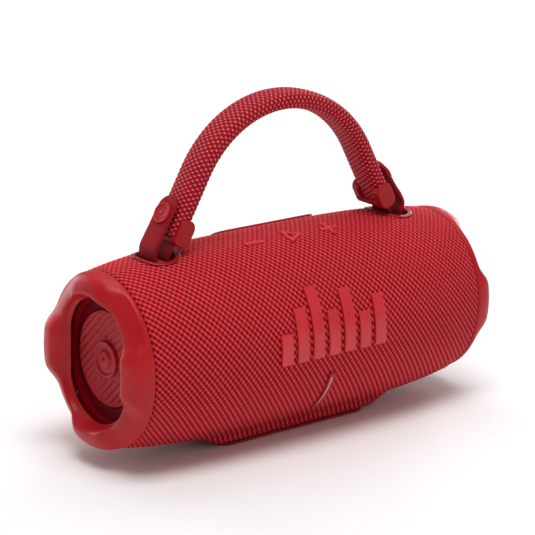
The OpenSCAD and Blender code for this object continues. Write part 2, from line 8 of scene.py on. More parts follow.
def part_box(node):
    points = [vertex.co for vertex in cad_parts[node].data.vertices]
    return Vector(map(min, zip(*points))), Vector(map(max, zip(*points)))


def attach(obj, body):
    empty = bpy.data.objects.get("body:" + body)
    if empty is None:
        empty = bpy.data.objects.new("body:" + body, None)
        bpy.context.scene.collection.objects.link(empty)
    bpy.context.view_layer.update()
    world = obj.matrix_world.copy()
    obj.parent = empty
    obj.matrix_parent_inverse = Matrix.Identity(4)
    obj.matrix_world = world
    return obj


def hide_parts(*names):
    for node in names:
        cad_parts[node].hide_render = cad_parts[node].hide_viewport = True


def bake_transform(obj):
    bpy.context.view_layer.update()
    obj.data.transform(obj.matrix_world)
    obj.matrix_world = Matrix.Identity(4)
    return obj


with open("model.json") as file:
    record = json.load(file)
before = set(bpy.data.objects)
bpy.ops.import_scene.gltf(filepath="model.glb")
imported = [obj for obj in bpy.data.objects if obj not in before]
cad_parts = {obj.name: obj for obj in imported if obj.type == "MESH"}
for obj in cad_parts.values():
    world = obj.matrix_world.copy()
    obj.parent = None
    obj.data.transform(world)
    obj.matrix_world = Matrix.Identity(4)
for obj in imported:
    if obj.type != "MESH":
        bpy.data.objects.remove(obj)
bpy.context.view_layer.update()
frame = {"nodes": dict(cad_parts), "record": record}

MM = 0.001

# ---- sizes, taken from the frame where a node shows them ----

sleeve_low, sleeve_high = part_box("fabric_sleeve")
bumper_low, bumper_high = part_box("bumper_right")
bar_low, bar_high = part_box("anchor_bar_right")
panel_low, panel_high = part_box("rear_panel")
SEAM = sleeve_high.x                        # where the knit meets a bumper
TIP = bumper_high.x                         # tip of a bumper lobe
AXIS = (bumper_low.z + bumper_high.z) / 2   # height of the barrel's axis
MID_D = -sleeve_low.y                       # half depth of the barrel at its middle
MID_H = sleeve_high.z - AXIS
END_D = 40.2 * MM                           # half depth of the barrel at the seam
END_H = 42.7 * MM                           # half height there
BARREL_POW = 3.5                            # how late the barrel tapers
OVAL_BOX_POW = 60                           # how sharply the belly meets the oval
FOOT_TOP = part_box("base_foot")[1].z
BELLY_H = AXIS - FOOT_TOP - 0.25 * MM       # depth of the flat belly below the axis
BELLY_W = 21.6 * MM                         # its half width
BELLY_FLAT = 46 * MM                        # it fades out between these two distances
BELLY_END = 63 * MM
BELLY_RISE = 4 * MM                         # how far it has sunk into the oval at its end
BELLY_FROM = -0.2                           # cosine of the angle below which there is a belly
BOX_POW = 14                                # how square the belly is
WELL_X = (bar_low.x + bar_high.x) / 2
BAR_Z = (bar_low.z + bar_high.z) / 2
WELL_R = 9.7 * MM                           # a strap well is a stadium with this radius
WELL_SLOT = 5 * MM                          # and with straight sides of this length
PANEL_HALF = 27 * MM                        # half length of the sleeve's window for the rear panel
PANEL_TURN = 360 - 40                       # its middle, in degrees from the top towards the front
PANEL_SPREAD = 16                           # its half width, in degrees

ARCH_R = 57.7 * MM                          # centreline of the handle's arch
ARCH_Z = AXIS + 54.9 * MM                   # height of the arch's centre
ARCH_HALF = math.radians(61)                # the arch runs this far to each side of its top
LEG_LEN = 36 * MM                           # straight leg below the arch
LEG_BARE = 3.8 * MM                         # the weave stops this far from the leg's end
GRIP_T = 4.8 * MM                           # half thickness of the handle
GRIP_W = 9 * MM                             # half width of the handle
GRIP_POW = 0.75                             # how square its section is; 1 is an ellipse
STRAP_T = 2 * MM
STRAP_W = 12.5 * MM
LOOP_R = (bar_high.x - bar_low.x) / 2 + 0.3 * MM + STRAP_T / 2
STUD_S = 24 * MM                            # distance of the press stud down the leg
STUD_OUT = 8.55 * MM                        # and of its cap's seat out of the leg

KNIT_X = 3.0 * MM                           # pitch of the knit along the barrel
KNIT_AROUND = 79                            # stitches round the barrel
KNIT_RELIEF = 0.27 * MM
HEM = 1.2 * MM                              # width over which the relief fades out at an edge
DOT_S = 2.5 * MM                            # pitch of the dots along the handle
DOTS_AROUND = 12
DOT_RELIEF = 0.16 * MM

DISC_D = 23 * MM                            # half depth and half height of a radiator's diaphragm
DISC_H = 23.6 * MM
DISC_X = 101.5 * MM                         # distance of its face from the middle
GROOVE_PITCH = 3.2 * MM
GROOVE_RELIEF = 0.6 * MM
BOSS_X = 101.9 * MM                         # distance of the boss's seat from the middle
BOSS_CLEAR = 9.6 * MM                       # the grooves start at this distance from the boss's axis

TAU = 2 * math.pi


def ramp(t):
    """A smooth step from 0 to 1."""
    t = np.clip(t, 0, 1)
    return t * t * (3 - 2 * t)


# ---- outline of the barrel ----

def oval_radius(a, depth, height):
    """Radius at angle a of an oval with this half depth and half height."""
    return 1 / np.sqrt((np.sin(a) / depth) ** 2 + (np.cos(a) / height) ** 2)


def skin(x, a):
    """Outer radius of the sleeve at x and at angle a from the top towards the front."""
    late = np.minimum(np.abs(x) / SEAM, 1) ** BARREL_POW
    depth = MID_D + (END_D - MID_D) * late
    height = MID_H + (END_H - MID_H) * late
    oval = oval_radius(a, depth, height)
    fade = ramp((np.abs(x) - BELLY_FLAT) / (BELLY_END - BELLY_FLAT))
    belly = BELLY_H + (height - BELLY_RISE - BELLY_H) * fade
    side = (np.abs(np.sin(a)) / BELLY_W) ** BOX_POW + (np.abs(np.cos(a)) / belly) ** BOX_POW
    box = np.where(np.cos(a) > BELLY_FROM, MM, 1 / side ** (1 / BOX_POW))
    return (oval ** OVAL_BOX_POW + box ** OVAL_BOX_POW) ** (1 / OVAL_BOX_POW)


def around_axis(x, a, r):
    """The point at x whose distance from the barrel's axis is r, at angle a."""
    return np.stack([x + 0 * a, -r * np.sin(a), AXIS + r * np.cos(a)], axis=-1)


# ---- mesh helpers ----

def link(name, mesh):
    piece = bpy.data.objects.new(name, mesh)
    bpy.context.scene.collection.objects.link(piece)
    return piece


def smooth(piece):
    piece.data.polygons.foreach_set("use_smooth", [True] * len(piece.data.polygons))
    return piece


def grid_piece(name, points, wrap_rows=False, wrap_cols=False, uv=None, keep=None, cap=False):
    """A smooth sheet through a grid of points.

    uv gives the points' pattern coordinates, with one column more than the points, because it is only
    used on sheets that wrap round; keep says which faces to make; cap closes the first and last rows.
    """
    rows, cols = points.shape[:2]
    row = np.arange(rows if wrap_rows else rows - 1)
    col = np.arange(cols if wrap_cols else cols - 1)
    i, j = np.meshgrid(row, col, indexing="ij")
    i2, j2 = (i + 1) % rows, (j + 1) % cols
    quads = np.stack([i * cols + j, i2 * cols + j, i2 * cols + j2, i * cols + j2], axis=-1)
    quads = quads.reshape(-1, 4)
    used = np.ones(len(quads), bool) if keep is None else keep[i, j].reshape(-1)
    faces = quads[used].tolist()
    if cap:
        faces += [list(range(cols))[::-1], list(range((rows - 1) * cols, rows * cols))]
    mesh = bpy.data.meshes.new(name)
    mesh.from_pydata(points.reshape(-1, 3).tolist(), [], faces)
    if uv is not None:
        corners = np.stack([uv[i, j], uv[i2, j], uv[i2, j + 1], uv[i, j + 1]], axis=2)
        flat = corners.reshape(-1, 4, 2)[used].reshape(-1)
        layer = mesh.uv_layers.new(name="pattern")
        on_caps = np.zeros(len(layer.data) * 2 - len(flat))
        layer.data.foreach_set("uv", np.concatenate([flat, on_caps]))
    mesh.validate()
    return smooth(link(name, mesh))


def baked(piece):
    """The piece with its modifiers applied."""
    bpy.context.view_layer.update()
    graph = bpy.context.evaluated_depsgraph_get()
    mesh = bpy.data.meshes.new_from_object(piece.evaluated_get(graph))
    piece.modifiers.clear()
    piece.data = mesh
    return smooth(piece)


def subdivided(piece, levels):
    piece.modifiers.new("round", "SUBSURF").levels = levels
    return baked(piece)


def softened(node, name, voxel, passes=2):
    """A copy of a CAD node with its sharp edges rounded off."""
    mesh = frame["nodes"][node].data.copy()
    mesh.materials.clear()
    piece = link(name, mesh)
    remesh = piece.modifiers.new("voxels", "REMESH")
    remesh.mode = "VOXEL"
    remesh.voxel_size = voxel
    relax = piece.modifiers.new("relax", "SMOOTH")
    relax.factor = 0.5
    relax.iterations = passes
    baked(piece)
    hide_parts(node)
    return piece


def lathe(name, profile, turns=72):
    """A turned piece about the local Z axis; profile is (radius, height) from the middle outwards."""
    a = np.arange(turns) * TAU / turns
    r = np.array([p[0] for p in profile])[:, None]
    z = np.array([p[1] for p in profile])[:, None]
    points = np.stack([r * np.cos(a), r * np.sin(a), z + 0 * a], axis=-1)
    return grid_piece(name, points, wrap_cols=True, cap=True)


def finish_piece(piece, body, slot, material, *replaced):
    """Gives a piece its look, the CAD nodes it replaces, and a body, if any, to ride; slot is not used."""
    piece.data.materials.clear()
    piece.data.materials.append(material)
    if replaced:
        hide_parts(*replaced)
    if body:
        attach(piece, body)
    return piece


# ---- materials ----

def srgb(r, g, b):
    """A linear colour from screen levels of 0 to 255."""
    def linear(v):
        v /= 255
        return v / 12.92 if v < 0.04045 else ((v + 0.055) / 1.055) ** 2.4
    return (linear(r), linear(g), linear(b), 1)


def shade(colour, k):
    """The colour made k times as bright."""
    return tuple(min(1, c * k) for c in colour[:3]) + (1,)


class Nodes:
    """Short names for the shader nodes that the materials share."""

    def __init__(self, name):
        self.material = bpy.data.materials.new(name)
        self.material.use_nodes = True
        self.tree = self.material.node_tree
        self.shader = self.tree.nodes["Principled BSDF"]

    def add(self, kind, **settings):
        node = self.tree.nodes.new(kind)
        for key, value in settings.items():
            setattr(node, key, value)
        return node

    def join(self, source, target):
        self.tree.links.new(source, target)

    def feed(self, node, index, value):
        if isinstance(value, (int, float)):
            node.inputs[index].default_value = value
        else:
            self.join(value, node.inputs[index])

    def math(self, operation, a, b=0.0):
        node = self.add("ShaderNodeMath", operation=operation)
        for index, value in enumerate((a, b)):
            self.feed(node, index, value)
        return node.outputs[0]

    def place(self):
        return self.add("ShaderNodeTexCoord").outputs["Object"]

    def noise(self, scale, detail=3.0, place=None, rough=0.5):
        node = self.add("ShaderNodeTexNoise")
        node.inputs["Scale"].default_value = scale
        node.inputs["Detail"].default_value = detail
        node.inputs["Roughness"].default_value = rough
        self.join(place or self.place(), node.inputs["Vector"])
        return node.outputs["Fac"]

    def span(self, value, low, high, start=0.0, end=1.0):
        """Maps a value from the range start to end onto the range low to high, and clamps it."""
        node = self.add("ShaderNodeMapRange")
        for index, v in enumerate((value, start, end, low, high)):
            self.feed(node, index, v)
        return node.outputs[0]

    def mix(self, share, first, second):
        node = self.add("ShaderNodeMix", data_type="RGBA")
        self.feed(node, 0, share)
        for index, colour in ((6, first), (7, second)):
            if isinstance(colour, tuple):
                node.inputs[index].default_value = colour
            else:
                self.join(colour, node.inputs[index])
        return node.outputs[2]

    def bump(self, height, distance):
        node = self.add("ShaderNodeBump")
        node.inputs["Strength"].default_value = 1.0
        node.inputs["Distance"].default_value = distance
        self.join(height, node.inputs["Height"])
        return node.outputs[0]

    def done(self, colour, roughness, normal=None, **fixed):
        self.join(colour, self.shader.inputs["Base Color"])
        self.join(roughness, self.shader.inputs["Roughness"])
        if normal:
            self.join(normal, self.shader.inputs["Normal"])
        for socket, value in fixed.items():
            self.shader.inputs[socket.replace("_", " ")].default_value = value
        return self.material


def moulded(name, colour, rough=0.42, grain=0.02, grain_scale=2600, spread=0.10, wear_and_rim_highlight=0.10, **fixed):
    """Moulded rubber or plastic: fine grain, slow colour drift, scuffed roughness and paler edges, partly
    wear and partly a painted highlight on rounded rims.
    """
    n = Nodes(name)
    drift = n.noise(38, 3)
    fine = n.noise(grain_scale, 2)
    scuff = n.noise(420, 5, rough=0.7)
    tint = n.mix(n.span(drift, 0, 1, 0.3, 0.7), shade(colour, 1 - spread), shade(colour, 1 + spread))
    edge = n.add("ShaderNodeNewGeometry").outputs["Pointiness"]
    # paler convex edges: partly wear, partly a painted highlight on rounded rims
    tint = n.mix(n.math("MULTIPLY", n.span(edge, 0, 1, 0.52, 0.60), wear_and_rim_highlight), tint, shade(colour, 1.9))
    tint = n.mix(n.math("MULTIPLY", n.span(fine, 0, 1, 0.35, 0.65), 0.12), tint, shade(colour, 0.75))
    roughness = n.span(scuff, rough - 0.06, rough + 0.09, 0.3, 0.7)
    height = n.math("ADD", fine, n.math("MULTIPLY", scuff, 0.4))
    fixed.setdefault("Specular_IOR_Level", 0.22)
    return n.done(tint, roughness, n.bump(height, grain * MM), **fixed)


def metal(name, colour, rough=0.3, stretch=(1, 1, 14)):
    """Plated or drawn metal with fine lines and stains."""
    n = Nodes(name)
    mapping = n.add("ShaderNodeMapping")
    mapping.inputs["Scale"].default_value = stretch
    n.join(n.place(), mapping.inputs["Vector"])
    lines = n.noise(900, 4, mapping.outputs[0])
    stain = n.noise(60, 4)
    tint = n.mix(n.span(stain, 0, 1, 0.35, 0.7), shade(colour, 0.82), shade(colour, 1.08))
    roughness = n.span(lines, rough - 0.08, rough + 0.14, 0.3, 0.7)
    return n.done(tint, roughness, n.bump(lines, 0.01 * MM), Metallic=1.0)


def lattice(n):
    """The pattern's two coordinates, then its two diagonal waves."""
    uv = n.add("ShaderNodeUVMap", uv_map="pattern").outputs[0]
    split = n.add("ShaderNodeSeparateXYZ")
    n.join(uv, split.inputs[0])
    u, v = split.outputs[0], split.outputs[1]
    rising = n.math("COSINE", n.math("MULTIPLY", n.math("ADD", u, v), TAU))
    falling = n.math("COSINE", n.math("MULTIPLY", n.math("SUBTRACT", u, v), TAU))
    return u, v, rising, falling


def knit_material():
    """Knitted sleeve: painted highlights on the stitch crests, painted shade in the slanting pores, and
    fine twisted yarn.
    """
    n = Nodes("knit")
    u, v, rising, falling = lattice(n)
    pore = n.math("ADD", n.math("MULTIPLY", rising, 0.32), n.math("MULTIPLY", falling, 0.68))
    wobble = n.math("MULTIPLY", n.math("SUBTRACT", n.noise(900, 2), 0.5), 0.4)
    depth = n.math("ADD", pore, wobble)
    yarn = n.math("SINE", n.math("MULTIPLY", n.math("ADD", n.math("MULTIPLY", u, 3), v), TAU * 3))
    fuzz = n.noise(4200, 3)
    drift = n.noise(45, 3)
    base = n.mix(drift, srgb(182, 12, 30), srgb(194, 20, 36))
    # painted highlight: the stitch crests are paled towards pink
    with_crest_highlight = n.mix(n.span(depth, 0, 1, 0.0, -0.85), base, srgb(238, 82, 88))
    lined = n.mix(n.math("MULTIPLY", n.span(yarn, 0, 1, -0.2, 1), 0.22), with_crest_highlight, srgb(150, 8, 24))
    # painted shade: the pores are darkened to a deep red
    colour = n.mix(n.span(depth, 0, 1, 0.38, 0.88), lined, srgb(84, 2, 14))
    roughness = n.span(fuzz, 0.6, 0.8, 0.3, 0.7)
    height = n.math("SUBTRACT", n.math("MULTIPLY", yarn, 0.12), n.math("MULTIPLY", depth, 1.0))
    height = n.math("ADD", height, n.math("MULTIPLY", fuzz, 0.25))
    fixed = {"Sheen Weight": 0.02, "Sheen Roughness": 0.4, "Specular IOR Level": 0.12}
    return n.done(colour, roughness, n.bump(height, 0.3 * MM), **fixed)


def braid_material():
    """Woven grip: pale thread ends in staggered rows on a dark red ground."""
    n = Nodes("braid")
    u, v, rising, falling = lattice(n)
    dot = n.math("MULTIPLY", n.math("ADD", rising, falling), 0.5)
    patch = n.noise(500, 3)
    size = n.math("ADD", dot, n.math("MULTIPLY", n.math("SUBTRACT", patch, 0.5), 0.3))
    thread = n.math("SINE", n.math("MULTIPLY", n.math("ADD", u, n.math("MULTIPLY", v, 2)), TAU * 4))
    ground = n.mix(n.span(size, 0, 1, -0.7, 0.2), srgb(112, 2, 18), srgb(180, 16, 36))
    ground = n.mix(n.math("MULTIPLY", n.span(thread, 0, 1, -0.3, 1), 0.25), ground, srgb(196, 30, 46))
    colour = n.mix(n.span(size, 0, 1, 0.6, 0.88), ground, srgb(246, 132, 136))
    roughness = n.span(n.noise(3800, 3), 0.55, 0.75, 0.3, 0.7)
    height = n.math("ADD", dot, n.math("MULTIPLY", thread, 0.15))
    fixed = {"Sheen Weight": 0.03, "Sheen Roughness": 0.4, "Specular IOR Level": 0.18}
    return n.done(colour, roughness, n.bump(height, 0.16 * MM), **fixed)


def board_material():
    """Circuit board: solder mask with a faint copper grid below it."""
    n = Nodes("board")
    brick = n.add("ShaderNodeTexBrick")
    brick.inputs["Scale"].default_value = 240
    n.join(n.place(), brick.inputs["Vector"])
    tint = n.mix(n.noise(70, 3), srgb(20, 92, 50), srgb(30, 118, 62))
    colour = n.mix(n.math("MULTIPLY", brick.outputs["Fac"], 0.5), tint, srgb(140, 160, 90))
    return n.done(colour, n.span(n.noise(700), 0.3, 0.5), n.bump(brick.outputs["Fac"], 0.03 * MM))


M = {
    "knit": knit_material(),
    "braid": braid_material(),
    "bumper": moulded("bumper", srgb(180, 20, 30), 0.38, 0.006, wear_and_rim_highlight=0.05, Specular_IOR_Level=0.26),
    "strap": moulded("strap", srgb(148, 14, 28), 0.55, 0.02, 1800, wear_and_rim_highlight=0.03, Specular_IOR_Level=0.14),
    "cap": moulded("cap", srgb(170, 12, 26), 0.36, 0.006),
    "foot": moulded("foot", srgb(164, 34, 40), 0.6, 0.03),
    # the well's strong pale edge is a painted highlight on its rounded rim
    "well": moulded("well", srgb(150, 22, 32), 0.26, 0.005, wear_and_rim_highlight=0.7, Specular_IOR_Level=0.5),
    "radiator": moulded("radiator", srgb(176, 38, 44), 0.4, 0.01, wear_and_rim_highlight=0.3),
    "badge": moulded("badge", srgb(208, 36, 46), 0.32, 0.008, wear_and_rim_highlight=0.08, Specular_IOR_Level=0.5),
    "snap": moulded("snap", srgb(172, 26, 36), 0.36, 0.006, wear_and_rim_highlight=0.4),
    "icon": moulded("icon", srgb(206, 46, 54), 0.42, 0.008, wear_and_rim_highlight=0.4),
    "panel": moulded("panel", srgb(184, 34, 44), 0.45, 0.02, 1600),
    "bezel": moulded("bezel", srgb(148, 20, 30), 0.35, 0.006, wear_and_rim_highlight=0.3),
    "lens": moulded("lens", srgb(222, 156, 152), 0.2, 0.002, spread=0.03, wear_and_rim_highlight=0.0),
    "recess": moulded("recess", srgb(140, 6, 24), 0.5, 0.01, wear_and_rim_highlight=0.0, Specular_IOR_Level=0.1),
    "frame": moulded("frame", srgb(34, 32, 34), 0.5, 0.02),
    "soft": moulded("soft", srgb(104, 4, 18), 0.55, 0.01, wear_and_rim_highlight=0.0, Specular_IOR_Level=0.1),
    "parts": moulded("parts", srgb(38, 38, 40), 0.4, 0.01),
    "cells": moulded("cells", srgb(60, 96, 160), 0.3, 0.004),
    "wire": moulded("wire", srgb(176, 26, 30), 0.4, 0.004),
    "steel": metal("steel", (0.6, 0.6, 0.61, 1)),
    "magnet": metal("magnet", (0.24, 0.24, 0.25, 1), 0.5),
    "copper": metal("copper", (0.78, 0.42, 0.22, 1), 0.35, (1, 14, 1)),
    "cone": metal("cone", (0.6, 0.6, 0.62, 1), 0.4),
    "board": board_material(),
}
SLOT_LOOK = {
    "woven_fabric": "knit", "bumper_rubber": "bumper", "strap_rubber": "strap", "cap_rubber": "cap",
    "foot_rubber": "foot", "well_plastic": "well", "radiator_plastic": "radiator",
    "badge_plastic": "badge", "button_rubber": "icon", "panel_plastic": "panel", "lens": "lens",
    "frame_plastic": "frame", "soft_rubber": "soft", "core_plastic": "parts", "steel": "steel",
    "magnet": "magnet", "copper": "copper", "cone": "cone", "board": "board", "components": "parts",
    "cells": "cells", "wire": "wire",
}


def dress_cad_nodes():
    """Gives the CAD nodes the looks of their slots, but the end frames and the light's bezel their own."""
    for part in frame["record"]["subparts"]:
        look = M[SLOT_LOOK[part["material_slot"]]]
        if part["node"].startswith("end_frame"):
            look = M["recess"]
        if part["node"] == "light_bezel":
            look = M["bezel"]
        mesh = frame["nodes"][part["node"]].data
        mesh.materials.clear()
        mesh.materials.append(look)


# ---- knitted sleeve ----

def stadium_distance(x, y, r, slot):
    """Distance outside a stadium whose straight sides run along Y."""
    return np.hypot(x, np.maximum(np.abs(y) - slot / 2, 0)) - r


def knit_sleeve():
    """The sleeve as one sheet with its stitches in the mesh, and with holes for the wells and the panel."""
    per_stitch = 4
    steps = round(2 * SEAM / KNIT_X * per_stitch)
    cols = KNIT_AROUND * per_stitch
    x = np.linspace(-SEAM, SEAM, steps + 1)
    x = np.concatenate([[-SEAM, -SEAM], x, [SEAM, SEAM]])[:, None]
    a = (np.arange(cols) * TAU / cols)[None, :]
    u, v = x / KNIT_X, a / TAU * KNIT_AROUND
    r = skin(x, a)
    y, z = -r * np.sin(a), r * np.cos(a)
    relief = -(0.32 * np.cos(TAU * (u + v)) + 0.68 * np.cos(TAU * (u - v)))
    away_seam = np.clip((SEAM - np.abs(x)) / HEM, 0, 1)
    well = stadium_distance(np.abs(x) - WELL_X, y, WELL_R, WELL_SLOT) + np.where(z > 0, 0, 1)
    fade = away_seam * np.clip((well - 0.6 * MM) / HEM, 0, 1)
    r = r + KNIT_RELIEF * (relief - 0.2) * fade
    r = r - 0.45 * MM * (1 - away_seam) ** 2
    turned_in = np.zeros_like(r)
    turned_in[[0, -1]] = 1.6 * MM
    turned_in[[1, -2]] = 0.6 * MM
    points = around_axis(x, a, r - turned_in)
    window = np.abs(x - (panel_low.x + panel_high.x) / 2) < PANEL_HALF
    window = window & (np.abs(np.degrees(a) - PANEL_TURN) < PANEL_SPREAD)
    keep = (well > 0.1 * MM) & ~window
    whole = np.concatenate([a, [[TAU]]], axis=1)
    uv = np.stack(np.broadcast_arrays(u, whole / TAU * KNIT_AROUND), axis=-1)
    piece = grid_piece("knit_sleeve", points, wrap_cols=True, uv=uv, keep=keep)
    finish_piece(piece, "root", "woven_fabric", M["knit"], "fabric_sleeve")


# ---- ends ----

def lobe(a):
    """1 on the bumper's four lobes, at the top, bottom, front and back, and 0 between them."""
    return ramp((np.cos(4 * a) + 0.75) / 1.35)


def bumper_section(a):
    """Control points of the bumper's section: distance along X and inset from the seam's oval, in mm."""
    valley = 1 - lobe(a)
    tip = TIP / MM - 4.1 * valley
    seam = SEAM / MM
    return [
        (seam + 0.2, 0.25), (seam + 1.0, 0.0), (seam + 3.5, -0.1),
        (tip - 5.0, 0.5 + valley), (tip - 2.5, 2.1 + 1.6 * valley), (tip - 1.0, 4.6 + 1.6 * valley),
        (tip - 0.1, 7.0 + valley), (tip + 0.1, 8.3 + 0.6 * valley), (tip - 0.4, 9.2 + 0.2 * valley),
        (tip - 2.2, 10.0 - 0.2 * valley), (108.2 - 0.8 * valley, 11.1 - 0.8 * valley),
        (107.0, 11.8 - 0.8 * valley), (106.7, 12.0 - 0.8 * valley),
        (106.4, 12.0 - 0.8 * valley), (105.6, 11.4 - 0.8 * valley), (104.4, 10.4 - 0.8 * valley),
        (seam + 1.7, 10.2 - 0.8 * valley),
        (seam + 1.7, 4.2), (seam + 0.2, 4.0),
    ]


def bumper(side, sign):
    """Rubber ring with four lobes; its section leans in most at the front and back."""
    a = np.arange(128) * TAU / 128
    rows = []
    for along, inset in bumper_section(a):
        r = oval_radius(a, END_D, END_H) - (inset + 0.04 * (inset * np.sin(a)) ** 2) * MM
        rows.append(around_axis(sign * along * MM, a, r))
    points = np.stack(rows)
    if sign > 0:
        points = points[::-1]
    piece = subdivided(grid_piece("bumper_cover_" + side, points, wrap_rows=True, wrap_cols=True), 1)
    finish_piece(piece, "root", "bumper_rubber", M["bumper"], "bumper_" + side)


def radiator_disc(side, sign):
    """Oval diaphragm with slanting grooves, a plain band round its boss and a rolled edge."""
    a = np.arange(224) * TAU / 224
    share = np.concatenate([np.linspace(0.02, 0.965, 64), [0.98, 0.993, 1.0, 1.0]])[:, None]
    y, z = share * DISC_D * np.sin(a), share * DISC_H * np.cos(a)
    across = (z - y * sign) / math.sqrt(2)
    wave = np.cos(TAU * across / GROOVE_PITCH)
    centre = np.hypot(y, z)
    grooved = ramp((centre - BOSS_CLEAR) / (0.8 * MM)) * ramp((0.95 - share) / 0.03)
    level = DISC_X + GROOVE_RELIEF * np.clip(wave * 2.2, -1, 0.6) * grooved
    drop = np.zeros(len(share))
    drop[-4:] = [0.15, 0.5, 1.1, 4.2]
    points = np.stack([sign * (level - drop[:, None] * MM), y, AXIS + z], axis=-1)
    if sign < 0:
        points = points[::-1]
    piece = grid_piece("radiator_plate_" + side, points, wrap_cols=True, cap=True)
    finish_piece(piece, "radiator_moving_" + side, "radiator_plastic", M["radiator"], "radiator_" + side)


def radiator_boss(side, sign):
    """Plain turned boss: an outer ring, a groove and a low dome."""
    profile = [(0.3, 1.75), (2.2, 1.68), (3.6, 1.45), (4.4, 1.1), (4.7, 0.55), (5.0, 0.4), (6.8, 0.4),
               (7.1, 0.5), (7.4, 1.05), (7.8, 1.3), (8.5, 1.3), (8.9, 1.05), (9.0, 0.5), (9.0, 0.0)]
    piece = lathe("radiator_cap_" + side, [(r * MM, h * MM) for r, h in profile])
    turn = Matrix.Rotation(math.radians(90 * sign), 4, "Y")
    piece.data.transform(Matrix.Translation((sign * BOSS_X, 0, AXIS)) @ turn)
    node = "radiator_boss_" + side
    finish_piece(piece, "radiator_moving_" + side, "radiator_plastic", M["snap"], node)


# ---- handle ----

def leg_point(s, n):
    """Point s down the right leg and n out of it, as (x, z) in metres."""
    cos, sin = math.cos(ARCH_HALF), math.sin(ARCH_HALF)
    return (ARCH_R * sin + s * cos + n * sin, ARCH_Z + ARCH_R * cos - s * sin + n * cos)


def grip_frame(s):
    """Centre and outward normal of the handle at signed distance s from its top, as (x, z) arrays."""
    arc = ARCH_R * ARCH_HALF
    angle = np.clip(s, -arc, arc) / ARCH_R
    extra = s - np.clip(s, -arc, arc)
    normal = np.stack([np.sin(angle), np.cos(angle)], axis=-1)
    tangent = np.stack([np.cos(angle), -np.sin(angle)], axis=-1)
    centre = normal * ARCH_R + tangent * extra[..., None]
    return centre + np.array([0, ARCH_Z]), normal


def rounded(wave, power):
    """A wave raised to a power with its sign kept, which makes an ellipse's section squarer."""
    return np.sign(wave) * np.abs(wave) ** power


def grip_section(count):
    """Evenly spaced points of the handle's rounded section: (out, across)."""
    t = np.linspace(0, TAU, 4001)
    out = GRIP_T * rounded(np.cos(t), GRIP_POW)
    across = GRIP_W * rounded(np.sin(t), GRIP_POW)
    length = np.concatenate([[0], np.cumsum(np.hypot(np.diff(out), np.diff(across)))])
    even = np.arange(count) / count * length[-1]
    return np.interp(even, length, out), np.interp(even, length, across)


def woven_grip():
    """The handle's woven tube from leg to leg, with its thread ends in the mesh."""
    per_dot = 8
    half = ARCH_R * ARCH_HALF + LEG_LEN - LEG_BARE
    s = np.linspace(-half, half, round(2 * half / DOT_S * per_dot) + 1)
    cols = DOTS_AROUND * per_dot
    out, across = grip_section(cols)
    centre, normal = grip_frame(s)
    u = (s / DOT_S)[:, None]
    v = (np.arange(cols) / per_dot)[None, :]
    dot = (np.cos(TAU * (u + v)) + np.cos(TAU * (u - v))) / 2
    grow = 1 + DOT_RELIEF * (np.maximum(dot, -0.3) - 0.5) / np.hypot(out, across)
    out, across = out * grow, across * grow
    points = np.stack([
        centre[:, 0:1] + normal[:, 0:1] * out,
        across,
        centre[:, 1:2] + normal[:, 1:2] * out,
    ], axis=-1)
    wide = np.concatenate([v, [[DOTS_AROUND]]], axis=1)
    uv = np.stack(np.broadcast_arrays(u, wide), axis=-1)
    piece = grid_piece("woven_grip", points, wrap_cols=True, uv=uv, cap=True)
    finish_piece(piece, "handle", "woven_fabric", M["braid"], "handle_sleeve")


def curve_through(knots, count):
    """Evenly spaced points on a smooth curve through the knots, and their distances along it."""
    p = np.array([knots[0]] + list(knots) + [knots[-1]], float)
    fine = []
    for k in range(1, len(p) - 2):
        t = np.linspace(0, 1, 24, endpoint=False)[:, None]
        a, b, c, d = p[k - 1:k + 3]
        fine.append(0.5 * (2 * b + (c - a) * t + (2 * a - 5 * b + 4 * c - d) * t ** 2
                           + (3 * b - a - 3 * c + d) * t ** 3))
    fine = np.concatenate(fine + [p[-1:]])
    length = np.concatenate([[0], np.cumsum(np.hypot(*np.diff(fine, axis=0).T))])
    even = np.linspace(0, length[-1], count)
    path = np.stack([np.interp(even, length, fine[:, k]) for k in (0, 1)], axis=-1)
    return path, even


def strap_piece(name, knots, sign, round_end):
    """A flat rubber band with rounded edges that follows the knots in the XZ plane.

    With round_end it narrows to a half circle at its last knot.
    """
    path, along = curve_through(knots, 150)
    way = np.gradient(path, axis=0)
    way /= np.linalg.norm(way, axis=1)[:, None]
    side = np.stack([-way[:, 1], way[:, 0]], axis=-1)
    t = np.arange(40) * TAU / 40
    thick = STRAP_T / 2 * rounded(np.cos(t), 0.35)
    wide = STRAP_W / 2 * rounded(np.sin(t), 0.12)
    left = along[-1] - along
    tip = STRAP_W / 2
    narrow = np.ones(len(path))
    if round_end:
        narrow = np.sqrt(np.clip(1 - (1 - np.minimum(left + 0.05 * MM, tip) / tip) ** 2, 0.0004, 1))
    slim = np.minimum(1, 0.35 + narrow)
    points = np.stack([
        sign * (path[:, 0:1] + side[:, 0:1] * thick * slim[:, None]),
        wide * narrow[:, None],
        path[:, 1:2] + side[:, 1:2] * thick * slim[:, None],
    ], axis=-1)
    if sign < 0:
        points = points[::-1]
    return grid_piece(name, points, wrap_cols=True, cap=True)


def strap_loop(side, sign):
    """The band from the end of the leg down into the well and round under its bar."""
    knots = [leg_point(LEG_LEN - 3.2 * MM, 0), leg_point(LEG_LEN, 0)]
    knots += [(WELL_X - LOOP_R - 0.6 * MM, BAR_Z + 5.6 * MM), (WELL_X - LOOP_R, BAR_Z + 3 * MM)]
    for k in range(7):
        a = math.pi * (1 + k / 6)
        knots.append((WELL_X + LOOP_R * math.cos(a), BAR_Z + LOOP_R * math.sin(a)))
    knots.append((WELL_X + LOOP_R + 0.1 * MM, BAR_Z + 1.2 * MM))
    piece = strap_piece("strap_loop_" + side, knots, sign, False)
    finish_piece(piece, None, "strap_rubber", M["strap"], "strap_" + side)
    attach(piece, "handle")
    piece.parent = None
    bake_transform(piece)


